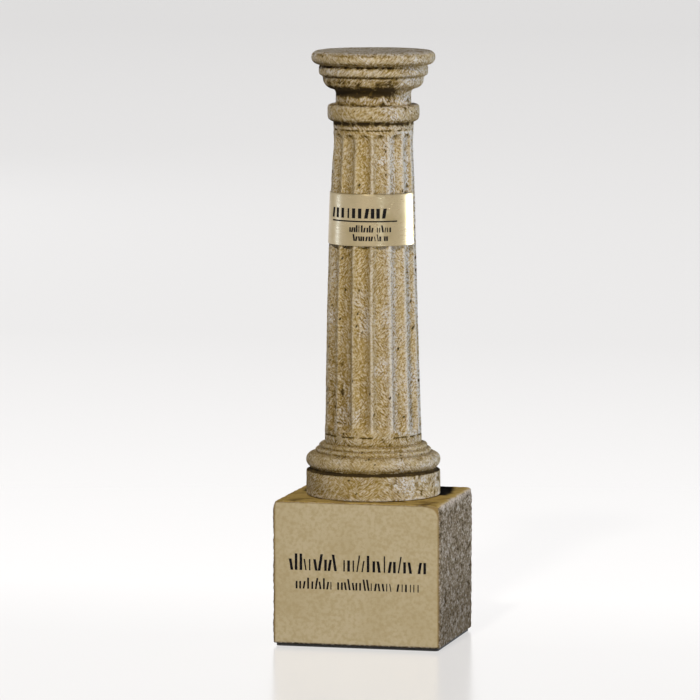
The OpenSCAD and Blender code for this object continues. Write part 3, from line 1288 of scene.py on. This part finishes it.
@dataclass
class RoundedSlab:
    """Upright box with all its edges rounded, as rings from its underside to its top."""

    width: float
    depth: float
    low: float
    high: float
    corner_r: float
    edge_r: float
    front_step: float
    side_step: float
    rise_step: float
    cap_step: float
    corner_parts: int = 5

    def perimeter(self) -> tuple[Array, Array]:
        """Walks round the outside, from the front left corner.

        Returns:
            Points and outward directions, each as rows of x and y.
        """
        half_w, half_d, r = self.width / 2, self.depth / 2, self.corner_r
        points: list[tuple[float, float]] = []
        ways: list[tuple[float, float]] = []
        sides = [
            ((-half_w + r, -half_d), (half_w - r, -half_d), -90, self.front_step),
            ((half_w, -half_d + r), (half_w, half_d - r), 0, self.side_step),
            ((half_w - r, half_d), (-half_w + r, half_d), 90, self.side_step),
            ((-half_w, half_d - r), (-half_w, -half_d + r), 180, self.side_step),
        ]
        for start, end, facing, step in sides:
            count = max(2, round(math.dist(start, end) / step))
            way = (math.cos(math.radians(facing)), math.sin(math.radians(facing)))
            for k in range(count + 1):
                t = k / count
                points.append(
                    (start[0] + (end[0] - start[0]) * t, start[1] + (end[1] - start[1]) * t)
                )
                ways.append(way)
            centre = (end[0] - r * way[0], end[1] - r * way[1])
            for k in range(1, self.corner_parts):
                turn = math.radians(facing + 90 * k / self.corner_parts)
                ways.append((math.cos(turn), math.sin(turn)))
                points.append((centre[0] + r * math.cos(turn), centre[1] + r * math.sin(turn)))
        return np.array(points), np.array(ways)

    def rings(self) -> Array:
        """Returns the rings' points by ring, place in the ring and axis."""
        outer, way = self.perimeter()
        made: list[Array] = []

        def add(inset: float, height: float, share: float = 1.0) -> None:
            """Adds one ring, inset from the outside and shrunk towards the middle."""
            flat = (outer - way * inset) * share
            made.append(np.column_stack([flat, np.full(len(flat), height)]))

        r = self.edge_r
        reach = min(self.width, self.depth) / 2 - r
        shares = np.linspace(0.02, 1.0, max(3, int(reach / self.cap_step)))[:-1]
        for share in np.linspace(0.1, 0.97, 5):
            add(r, self.low, float(share))
        turns = np.radians(np.linspace(0, 90, 6))
        for turn in turns:
            add(r * (1 - math.sin(turn)), self.low + r * (1 - math.cos(turn)))
        rise = np.linspace(
            self.low + r, self.high - r, max(2, int((self.high - self.low) / self.rise_step))
        )
        for height in rise[1:-1]:
            add(0.0, float(height))
        for turn in turns:
            add(r * (1 - math.cos(turn)), self.high - r * (1 - math.sin(turn)))
        for share in shares[::-1]:
            add(r, self.high, float(share))
        return np.array(made)


@dataclass
class Block:
    """Rectangular cast-stone block, rubbed smooth in front and pebbled elsewhere."""

    edge_r: float = 1.2
    corner_r: float = 1.5
    pebble: float = 0.3
    inset: float = 0.05
    seed: int = 23

    def edge_wear(self, points: Array, high: Array, front: Array, noise: Noise) -> Array:
        """Depth worn off the upper edges and the two upper front corners.

        Args:
            points: Places by ring, place in the ring and axis.
            high: The block's largest x, y and z.
            front: Share of each point that looks forwards.
            noise: Source of the unevenness.

        Returns:
            Depth in millimetres at each point.
        """
        x, y, z = np.moveaxis(points, -1, 0)
        to_side = np.minimum(np.abs(np.abs(x) - high[0]), np.abs(z - high[2]))
        wear = 0.3 * np.clip(noise.fractal(points + 53.0, 9.0, 2), 0, 1)
        wear *= hump(to_side, 0.0, 1.6) * hump(y, -high[1], 2.0)
        for side, amount in ((1, 1.3), (-1, 0.7)):
            corner = high * np.array([side, -1, 1])
            wear += amount * hump(np.linalg.norm(points - corner, axis=-1), 0.0, 2.4)
        shoulder = np.hypot(high[0] - np.abs(x), high[2] - z)
        return wear + 0.5 * hump(shoulder, 0.0, 1.7) * (1 - front)

    def brow(self, points: Array, high: Array, ragged: Array) -> Array:
        """Pale rubbed strip along the upper side edges, from 0 to 1.

        Args:
            points: Places by ring, place in the ring and axis.
            high: The block's largest x, y and z.
            ragged: Unevenness of its border in millimetres.

        Returns:
            One value a point.
        """
        strip = smoothstep(points[..., 2] + ragged, high[2] - 3.4, high[2] - 1.2)
        across = np.abs(points[..., 0]) + 0.6 * ragged
        return strip * smoothstep(across, high[0] - 1.7, high[0] - 0.7)

    def painted_shadow(self, points: Array, ragged: Array) -> Array:
        """Painted shadow of the drum and column on the top behind the drum, with some dark wash,
        from 0 to 1.

        Args:
            points: Places by ring, place in the ring and axis.
            ragged: Unevenness of its border in millimetres.

        Returns:
            One value a point.
        """
        x, y = points[..., 0], points[..., 1]
        bound = 33.2 - 0.008 * (y - 10.0) ** 2 + ragged
        spread = smoothstep(bound - np.abs(x), 0.0, 2.4) * smoothstep(y + ragged, -1.0, 4.0)
        return spread * smoothstep(np.hypot(x, y), 28.0, 28.6)

    def build(self) -> bpy.types.Object:
        """Makes the mesh with its relief, and the marks that its finish reads.

        Returns:
            The new object.
        """
        low, high = (np.array(corner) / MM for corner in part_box(Part.BLOCK.value))
        slab = RoundedSlab(
            *(high - low)[:2],
            low[2],
            high[2],
            self.corner_r,
            self.edge_r,
            front_step=1.1,
            side_step=0.52,
            rise_step=0.56,
            cap_step=0.75,
        )
        points = slab.rings()
        normal = grid_normals(points)
        noise = Noise(self.seed)
        front = smoothstep(-normal[..., 1], 0.75, 0.97)
        under = smoothstep(-normal[..., 2], 0.3, 0.8)
        top = smoothstep(normal[..., 2], 0.4, 0.9)
        drawn = points * np.array([0.8, 0.6, 1.0])
        cells = 0.9 * noise.smooth(drawn, 1.7) + 0.6 * noise.smooth(drawn + 31.0, 2.9)
        lumps = 0.07 * noise.fractal(points, 7.0, 2)
        rough = self.pebble * cells * (1 - 0.5 * top) - 0.22
        push = (rough + lumps) * (1 - front) * (1 - under)
        push += front * (lumps * 0.25 - self.inset - 0.02)
        push -= self.edge_wear(points, high, front, noise)
        points = np.clip(points + normal * push[..., None], low, high)
        ragged = 0.8 * noise.smooth(points + 11.0, 3.0)
        brow = self.brow(points, high, ragged) * (1 - front)
        marks = {
            "front": front,
            "top": top,
            "relief": cells * (1 - front),
            "edge": brow * (0.8 + 0.4 * noise.smooth(points, 4.0)),
            "painted_shadow": self.painted_shadow(points, ragged) * top,
        }
        return loft("block_cast", points, marks)

    def dress(self, piece: bpy.types.Object) -> None:
        """Gives the piece its finish and its place in the construction.

        Args:
            piece: Object that build made.
        """
        _low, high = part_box(Part.BLOCK.value)
        piece.data.materials.append(HonedStone(high.x, high.z).make())
        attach(piece, "root")
        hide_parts(Part.BLOCK.value)


@dataclass
class Plate:
    """Thin gold-tone plate bent round the front of the shaft."""

    form: ShaftForm = field(default_factory=ShaftForm)
    wrap: float = 163.0
    thick: float = 0.5
    tape: float = 0.1
    edge_r: float = 0.16
    follow: float = 0.8
    wave: float = 0.035
    wave_length: float = 9.0
    wave_drop: float = 0.02
    bend_r: float = 18.0
    stations: int = 165
    seed: int = 31

    def place(self, angle: Array, height: Array, lift: Array) -> Array:
        """Point over the plate's bend.

        Args:
            angle: Angle round the shaft from the front, in radians, positive to the right.
            height: Height above the table, in millimetres.
            lift: Distance out from the plate's back, in millimetres.

        Returns:
            Rows of x, y and z.
        """
        radius = self.form.taper(height) + self.tape + lift
        line = np.stack([radius * np.sin(angle), -radius * np.cos(angle), height], axis=-1)
        return line + self.form.shift(height) * self.follow

    def section(self, low: float, high: float, shrink: float) -> Array:
        """Closed outline across the plate, as rows of height and lift.

        Args:
            low: Height of the lower edge.
            high: Height of the upper edge.
            shrink: How far the outline is drawn in, for the rounded ends.

        Returns:
            Points going round the section.
        """
        r = self.edge_r
        marks: list[tuple[float, float]] = []
        corners = [(low, 0.0, 180), (high, 0.0, 270), (high, self.thick, 0), (low, self.thick, 90)]
        for k, (height, lift, start) in enumerate(corners):
            inner_h = height + (r if height == low else -r)
            inner_l = lift + (r if lift == 0.0 else -r)
            reach = r - shrink
            for step in range(4):
                turn = math.radians(start + 30 * step)
                marks.append((inner_h + reach * math.cos(turn), inner_l + reach * math.sin(turn)))
            if k in (0, 2):
                end = high - r if k == 0 else low + r
                for t in np.linspace(0, 1, 26)[1:-1]:
                    marks.append((inner_h + (end - inner_h) * float(t), marks[-1][1]))
        return np.array(marks)

    def build(self) -> bpy.types.Object:
        """Makes the mesh.

        Returns:
            The new object.
        """
        low, high = (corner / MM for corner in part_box(Part.PLATE.value))
        half = math.radians(self.wrap / 2)
        turn = self.edge_r / self.form.taper(np.array((low.z + high.z) / 2))
        start = [
            (-half + turn * (1 - math.cos(tip)), self.edge_r * (1 - math.sin(tip)))
            for tip in np.radians([0, 30, 60])
        ]
        middle = [(float(at), 0.0) for at in np.linspace(-half + turn, half - turn, self.stations)]
        end = [(-at, shrink) for at, shrink in reversed(start)]
        noise = Noise(self.seed)
        rings = []
        for at, shrink in [*start, *middle, *end]:
            height, lift = self.section(low.z, high.z, shrink).T
            angle = np.full(len(height), at)
            spots = np.column_stack([angle * self.bend_r, height, np.zeros(len(height))])
            lift = lift + self.wave * noise.smooth(spots, self.wave_length) - self.wave_drop
            rings.append(self.place(angle, height, lift))
        return loft("plate_bent", np.array(rings), {})

    def dress(self, piece: bpy.types.Object) -> None:
        """Gives the piece its finish and its place in the construction.

        Args:
            piece: Object that build made.
        """
        piece.data.materials.append(SatinGold().make())
        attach(piece, "root")
        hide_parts(Part.PLATE.value)


@dataclass
class Pad:
    """Thin black felt pad under the block, its edge slightly fuzzy."""

    corner_r: float = 2.0
    edge_r: float = 0.3
    seed: int = 41

    def build(self) -> bpy.types.Object:
        """Makes the mesh.

        Returns:
            The new object.
        """
        low, high = (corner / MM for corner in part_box(Part.PAD.value))
        slab = RoundedSlab(
            high.x - low.x,
            high.y - low.y,
            low.z,
            high.z,
            self.corner_r,
            self.edge_r,
            front_step=0.8,
            side_step=0.8,
            rise_step=0.2,
            cap_step=3.0,
        )
        points = slab.rings()
        normal = grid_normals(points)
        noise = Noise(self.seed)
        side = 1.0 - np.abs(normal[..., 2])
        push = side * (0.12 * noise.smooth(points, 1.2) - 0.12)
        points = np.clip(points + normal * push[..., None], np.array(low), np.array(high))
        return loft("pad_felt", points, {})

    def dress(self, piece: bpy.types.Object) -> None:
        """Gives the piece its finish and its place in the construction.

        Args:
            piece: Object that build made.
        """
        piece.data.materials.append(BlackFelt().make())
        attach(piece, "root")
        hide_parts(Part.PAD.value)


@dataclass(frozen=True)
class StrokeRow:
    """Row of plain upright strokes that stands for a line of lettering."""

    start: float
    end: float
    low: float
    high: float
    stroke_w: float
    pitch: float
    seed: int

    def strokes(self) -> list[tuple[float, float, float, float, float]]:
        """Spaces the strokes along the row, in a few groups.

        Returns:
            Each stroke's middle, width, foot, head and lean, in millimetres.
        """
        draw = np.random.default_rng(self.seed)
        made = []
        at = self.start + self.stroke_w / 2
        tall = self.high - self.low
        run = 0
        while at < self.end - self.stroke_w / 2:
            width = self.stroke_w * float(draw.choice([0.55, 1.0, 1.0]))
            head = self.high if draw.random() < 0.3 else self.low + tall * 0.68
            lean = float(draw.choice([0.0, 0.0, 0.0, 0.16, -0.16])) * (head - self.low)
            made.append((at, width, self.low, head, lean))
            run += 1
            at += self.pitch * float(draw.uniform(0.85, 1.2))
            if run >= 9 and draw.random() < 0.35:
                at += self.pitch * 0.9
                run = 0
        return made


class FaceMap:
    """Face that marks are laid on."""

    def place(self, spots: Array, lift: float) -> Array:
        """Point over the face for each row of across and height, in millimetres."""
        raise NotImplementedError


@dataclass
class FlatFace(FaceMap):
    """Upright flat face that looks along -Y."""

    y: float

    def place(self, spots: Array, lift: float) -> Array:
        """Point over the face for each row of across and height, in millimetres."""
        return np.column_stack([spots[:, 0], np.full(len(spots), self.y - lift), spots[:, 1]])


@dataclass
class BentFace(FaceMap):
    """Outside of the bent plate; across is measured round a bend of the given radius."""

    plate: Plate
    bend_r: float = 18.6

    def place(self, spots: Array, lift: float) -> Array:
        """Points over the face.

        Args:
            spots: Rows of across and height, in millimetres.
            lift: Distance out from the face, in millimetres.

        Returns:
            Rows of x, y and z.
        """
        angle = spots[:, 0] / self.bend_r
        out = np.full(len(spots), self.plate.thick + lift)
        return self.plate.place(angle, spots[:, 1], out)


@dataclass
class Inlay:
    """Painted marks set a hair's breadth proud of a face."""

    proud: float = 0.03
    sunk: float = 0.15

    def bars(self, rows: list[StrokeRow], rule: tuple[float, ...] | None = None) -> list[Array]:
        """Outlines of all the bars, as rows of across and height.

        Args:
            rows: Rows of strokes.
            rule: Start, end, low and high of one long line, if there is one.

        Returns:
            One array a bar: four corners, or for the rule two long edges with equal points.
        """
        made = []
        for at, width, foot, head, lean in (stroke for row in rows for stroke in row.strokes()):
            below, above = at - lean / 2, at + lean / 2
            feet = [(below - width / 2, foot), (below + width / 2, foot)]
            made.append(np.array([*feet, (above + width / 2, head), (above - width / 2, head)]))
        if rule is not None:
            start, end, low, high = rule
            edges = np.linspace(start, end, 40)
            top = [(e, high) for e in edges[::-1]]
            made.append(np.array([(e, low) for e in edges] + top))
        return made

    def build(self, name: str, bars: list[Array], lay: FaceMap) -> bpy.types.Object:
        """Makes all the bars as one piece.

        Args:
            name: Name of the new object.
            bars: Outlines of the bars.
            lay: Face that carries them.

        Returns:
            The new object.
        """
        points: list[Array] = []
        faces: list[tuple[int, ...]] = []
        base = 0
        for bar in bars:
            n = len(bar)
            points.append(lay.place(bar, self.proud))
            points.append(lay.place(bar, -self.sunk))
            for k in range(n // 2 - 1):
                a, b = base + k, base + k + 1
                c, d = base + n - 2 - k, base + n - 1 - k
                faces.append((a, b, c, d))
                faces.append((d + n, c + n, b + n, a + n))
            for k in range(n):
                nxt = (k + 1) % n
                faces.append((base + nxt, base + k, base + n + k, base + n + nxt))
            base += 2 * n
        piece = mesh_piece(name, np.concatenate(points), faces)
        for polygon in piece.data.polygons:
            polygon.use_smooth = False
        return piece


@dataclass
class Inscriptions:
    """Plain stroke rows on the block's front and on the plate."""

    inlay: Inlay = field(default_factory=Inlay)
    block_inset: float = 0.07

    def block(self) -> bpy.types.Object:
        """Makes the two rows on the block's front.

        Returns:
            The new object.
        """
        low, _high = (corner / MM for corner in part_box(Part.BLOCK.value))
        rows = [
            StrokeRow(-29.1, 31.1, 33.2, 40.3, stroke_w=1.15, pitch=2.15, seed=5),
            StrokeRow(-26.5, 28.5, 25.2, 30.0, stroke_w=0.8, pitch=1.62, seed=6),
        ]
        face = FlatFace(low.y + self.block_inset)
        return self.inlay.build("block_strokes", self.inlay.bars(rows), face)

    def plate(self, plate: Plate) -> bpy.types.Object:
        """Makes the rows and the rule on the plate.

        Args:
            plate: Plate that the rows lie on.

        Returns:
            The new object.
        """
        rows = [
            StrokeRow(-16.6, 15.2, 183.2, 189.4, stroke_w=1.5, pitch=2.7, seed=7),
            StrokeRow(-6.0, 13.2, 177.3, 180.3, stroke_w=0.74, pitch=1.08, seed=8),
            StrokeRow(-4.2, 11.4, 173.6, 176.5, stroke_w=0.74, pitch=1.08, seed=9),
        ]
        bars = self.inlay.bars(rows, (-16.6, 15.2, 181.6, 182.2))
        return self.inlay.build("plate_strokes", bars, BentFace(plate))

    def dress(self, piece: bpy.types.Object, slot: Slot, paint: str) -> None:
        """Gives a piece its paint and its place in the construction.

        Args:
            piece: Object that block or plate made.
            slot: Material slot of the face under the paint; not used.
            paint: Name of the paint's material.
        """
        piece.data.materials.append(DarkPaint(paint).make())
        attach(piece, "root")


@dataclass(frozen=True)
class Lamp:
    """Soft light on a stand, aimed at the middle of the trophy."""

    name: str
    azimuth: float
    elevation: float
    distance: float
    size: tuple[float, float]
    power: float
    colour: Colour = (1.0, 1.0, 1.0)
    mirrored: bool = True

    def hang(self, aim: Vector) -> None:
        """Puts the light up and turns it to a point.

        Args:
            aim: Point that the light faces, in metres.
        """
        turn, tip = math.radians(self.azimuth), math.radians(self.elevation)
        way = Vector(
            (math.sin(turn) * math.cos(tip), -math.cos(turn) * math.cos(tip), math.sin(tip))
        )
        light = bpy.data.lights.new(self.name, "AREA")
        light.shape = "RECTANGLE"
        light.size, light.size_y = self.size
        light.energy = self.power
        light.color = self.colour
        stand = bpy.data.objects.new(self.name, light)
        stand.location = aim + way * self.distance
        stand.visible_glossy = self.mirrored
        stand.visible_camera = False
        stand.rotation_euler = (-way).to_track_quat("-Z", "Y").to_euler()
        bpy.context.scene.collection.objects.link(stand)


def set_tones(
    glow: bpy.types.Node, steps: tuple[tuple[float, float], ...], tint: Colour
) -> None:
    """Fills a colour ramp.

    Args:
        glow: Colour ramp node.
        steps: Position and brightness of each stop.
        tint: Share of the brightness that each of red, green and blue gets.
    """
    stops = glow.color_ramp.elements
    for position, _tone in steps[1:-1]:
        stops.new(position)
    for stop, (position, tone) in zip(stops, steps):
        stop.position = position
        stop.color = (*(tone * share for share in tint), 1.0)


@dataclass
class Studio:
    """Camera, pale floor and soft lights, in metres and radians."""

    camera_distance: float = 2.62094
    camera_height: float = 0.40853
    camera_azimuth: float = 0.232207
    camera_pitch: float = 0.107776
    camera_yaw: float = 0.003822
    lens: float = 315.55
    sky: Colour = (1.0, 0.99, 0.985)
    horizon: float = 0.8
    overhead: float = 0.02
    underside: float = 0.02
    aim_height: float = 0.127
    floor_half: float = 14.0
    floor_tones: tuple[tuple[float, float], ...] = (
        (0.0, 0.58),
        (0.04, 0.60),
        (0.07, 0.67),
        (0.16, 0.59),
        (0.29, 0.475),
        (0.52, 0.425),
        (1.0, 0.34),
    )
    lamps: tuple[Lamp, ...] = (
        Lamp("key", -1.7, 37.0, 1.6, (0.10, 0.10), 18.2, (1.0, 0.97, 0.89)),
        Lamp("fill", 58.0, -3.0, 1.5, (0.30, 0.10), 11.0, (0.93, 0.97, 1.0), False),
        Lamp("glint", 34.5, -3.0, 1.5, (0.06, 0.10), 0.30, (0.60, 0.76, 1.0)),
        Lamp("right_strip", 127.0, -3.0, 1.2, (0.20, 0.10), 8.2, (0.76, 0.87, 1.0)),
        Lamp("left_strip", -90.5, -3.0, 1.2, (0.11, 0.10), 0.56, (0.46, 0.62, 1.0)),
        Lamp("bounce", -6.0, -42.0, 1.6, (0.60, 0.60), 4.5, (1.0, 0.95, 0.86), False),
        Lamp("back_fill", 222.0, 2.0, 2.6, (0.80, 0.25), 27.0, (0.98, 0.99, 1.0), False),
    )

    def camera(self) -> None:
        """Sets up the camera in front, a little to the right and above."""
        shot = bpy.data.cameras.new("camera")
        shot.lens = self.lens
        shot.sensor_width = 36.0
        shot.clip_start, shot.clip_end = 0.05, 60.0
        stand = bpy.data.objects.new("camera", shot)
        azimuth = self.camera_azimuth
        stand.location = (
            self.camera_distance * math.sin(azimuth),
            -self.camera_distance * math.cos(azimuth),
            self.camera_height,
        )
        stand.rotation_euler = (math.pi / 2 - self.camera_pitch, 0.0, azimuth + self.camera_yaw)
        bpy.context.scene.collection.objects.link(stand)
        bpy.context.scene.camera = stand

    def floor(self) -> None:
        """Lays a wide white floor that darkens gently with distance behind the trophy."""
        half = self.floor_half
        mesh = bpy.data.meshes.new("floor")
        corners = [(-half, -half, 0.0), (half, -half, 0.0), (half, half, 0.0), (-half, half, 0.0)]
        mesh.from_pydata(corners, [], [(0, 1, 2, 3)])
        floor = bpy.data.objects.new("floor", mesh)
        bpy.context.scene.collection.objects.link(floor)
        floor.visible_diffuse = False
        floor.visible_shadow = False
        board = Board("white_floor")
        fade = board.add("ShaderNodeMapRange", {0: board.axis("Y"), 1: -0.2, 2: 4.6}).outputs[0]
        glow = board.add("ShaderNodeValToRGB", {0: fade})
        set_tones(glow, self.floor_tones, (1.0, 0.985, 0.98))
        finish = board.finish(
            {
                "Base Color": (0.22, 0.22, 0.22, 1.0),
                "Roughness": 0.2,
                "Specular IOR Level": 0.35,
                "Emission Color": glow.outputs[0],
                "Emission Strength": 1.0,
            }
        )
        mesh.materials.append(finish)

    def sky_glow(self) -> None:
        """Fills the surroundings with pale light."""
        world = bpy.data.worlds.new("studio")
        bpy.context.scene.world = world
        world.use_nodes = True
        tree = world.node_tree
        back = tree.nodes["Background"]
        place = tree.nodes.new("ShaderNodeTexCoord")
        split = tree.nodes.new("ShaderNodeSeparateXYZ")
        half = tree.nodes.new("ShaderNodeMath")
        half.operation = "MULTIPLY_ADD"
        half.inputs[1].default_value = half.inputs[2].default_value = 0.5
        glow = tree.nodes.new("ShaderNodeValToRGB")
        low, band, high = self.underside, self.horizon, self.overhead
        steps = ((0.0, low), (0.44, low), (0.48, band), (0.62, band), (0.75, high), (1.0, high))
        set_tones(glow, steps, (1.0, 1.0, 1.0))
        tree.links.new(place.outputs["Generated"], split.inputs[0])
        tree.links.new(split.outputs["Z"], half.inputs[0])
        tree.links.new(half.outputs[0], glow.inputs[0])
        tree.links.new(glow.outputs[0], back.inputs[1])
        back.inputs[0].default_value = (*self.sky, 1.0)
        world.cycles_visibility.diffuse = False
        bpy.context.scene.view_settings.view_transform = "Standard"

    def build(self) -> None:
        """Sets up the whole studio."""
        self.camera()
        self.floor()
        self.sky_glow()
        aim = Vector((0.0, 0.0, self.aim_height))
        for lamp in self.lamps:
            lamp.hang(aim)


def main() -> None:
    """Builds the trophy piece by piece, then the studio."""
    logging.basicConfig(level=logging.INFO, format="%(name)s: %(message)s")
    column, block, plate, pad = Column(), Block(), Plate(), Pad()
    for maker in (column, block, plate, pad):
        piece = maker.build()
        maker.dress(piece)
        LOG.info("%s: %d faces", piece.name, len(piece.data.polygons))
    marks = Inscriptions()
    for piece, slot, paint in (
        (marks.block(), Slot.HONED_STONE, "block_paint"),
        (marks.plate(plate), Slot.GOLD_METAL, "plate_paint"),
    ):
        marks.dress(piece, slot, paint)
        LOG.info("%s: %d faces", piece.name, len(piece.data.polygons))
    Studio().build()


if __name__ == "__main__":
    main()
